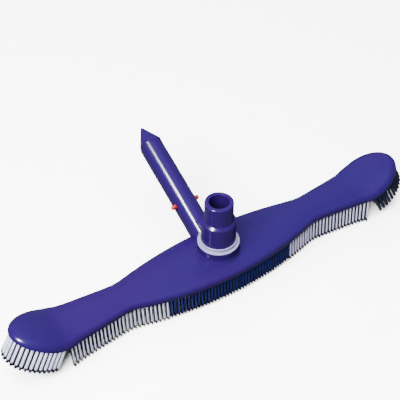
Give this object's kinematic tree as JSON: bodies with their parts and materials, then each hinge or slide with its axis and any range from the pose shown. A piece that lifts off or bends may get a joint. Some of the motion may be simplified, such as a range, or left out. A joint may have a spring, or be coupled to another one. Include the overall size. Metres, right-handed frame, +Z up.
{
  "type": "manual pool vacuum head",
  "caption": "Long manual pool vacuum head with brush skirts, tilted end paddles, swivelling stepped hose spigot and sloping pole handle with a spring clip.",
  "frame": {"origin": "middle of the whole part in plan, on the floor that the bristle tips stand on", "axes": "+X along the body, towards the dark-bristled end paddle; +Y back towards the nose of the pole handle; +Z up along the hose spigot"},
  "size_m": [0.5534, 0.2112, 0.1192],
  "materials": {
    "body_blue": "glossy moulded plastic",
    "plate_blue": "moulded plastic",
    "blue_bristle": "extruded filament",
    "white_bristle": "extruded filament",
    "navy_bristle": "extruded filament",
    "white_plastic": "satin moulded plastic",
    "clip_red": "satin moulded plastic",
    "seal_rubber": "matt",
    "screw_steel": "stainless"
  },
  "bodies": {
    "head": {"clip_root": "clip_red", "end_brush_plate_left": "plate_blue", "end_brush_plate_right": "plate_blue", "end_core_bristles_left": "blue_bristle", "end_core_bristles_right": "navy_bristle", "end_rim_bristles_left": "white_bristle", "end_rim_bristles_right": "navy_bristle", "end_screw_left": "screw_steel", "end_screw_right": "screw_steel", "handle_screw_left": "screw_steel", "handle_screw_right": "screw_steel", "middle_skirt_front": "blue_bristle", "middle_skirt_rear": "blue_bristle", "neck_brush_plate_left": "plate_blue", "neck_brush_plate_right": "plate_blue", "neck_core_bristles_left": "blue_bristle", "neck_core_bristles_right": "blue_bristle", "neck_screw_left_1": "screw_steel", "neck_screw_left_2": "screw_steel", "neck_screw_right_1": "screw_steel", "neck_screw_right_2": "screw_steel", "pole_handle": "body_blue", "retaining_ring": "white_plastic", "skirt_holder_front": "plate_blue", "skirt_holder_rear": "plate_blue", "skirt_screw_front_1": "screw_steel", "skirt_screw_front_2": "screw_steel", "skirt_screw_front_3": "screw_steel", "skirt_screw_front_4": "screw_steel", "skirt_screw_rear_1": "screw_steel", "skirt_screw_rear_2": "screw_steel", "skirt_screw_rear_3": "screw_steel", "skirt_screw_rear_4": "screw_steel", "swivel_washer": "white_plastic", "top_shell": "body_blue", "white_skirt_front_left": "white_bristle", "white_skirt_front_right": "white_bristle", "white_skirt_rear_left": "white_bristle", "white_skirt_rear_right": "white_bristle"},
    "connector": {"hose_connector": "body_blue", "seal_ring": "seal_rubber"},
    "clip_left": {"clip_leg_left": "clip_red"},
    "clip_right": {"clip_leg_right": "clip_red"}
  },
  "joints": [
    {"name": "hose_swivel", "type": "hinge", "parent": "head", "child": "connector", "pos_m": [0, -0.06543, 0.069], "axis": [0, 0, 1], "continuous": true},
    {"name": "clip_left_flex", "type": "hinge", "parent": "head", "child": "clip_left", "pos_m": [0, 0.05303, 0.08463], "axis": [0, -0.4399, 0.898], "range_deg": [0, 5.2], "stiffness_Nm_per_rad": 4},
    {"name": "clip_right_flex", "type": "hinge", "parent": "head", "child": "clip_right", "pos_m": [0, 0.05303, 0.08463], "axis": [0, -0.4399, 0.898], "range_deg": [-5.2, 0], "stiffness_Nm_per_rad": 4}
  ]
}
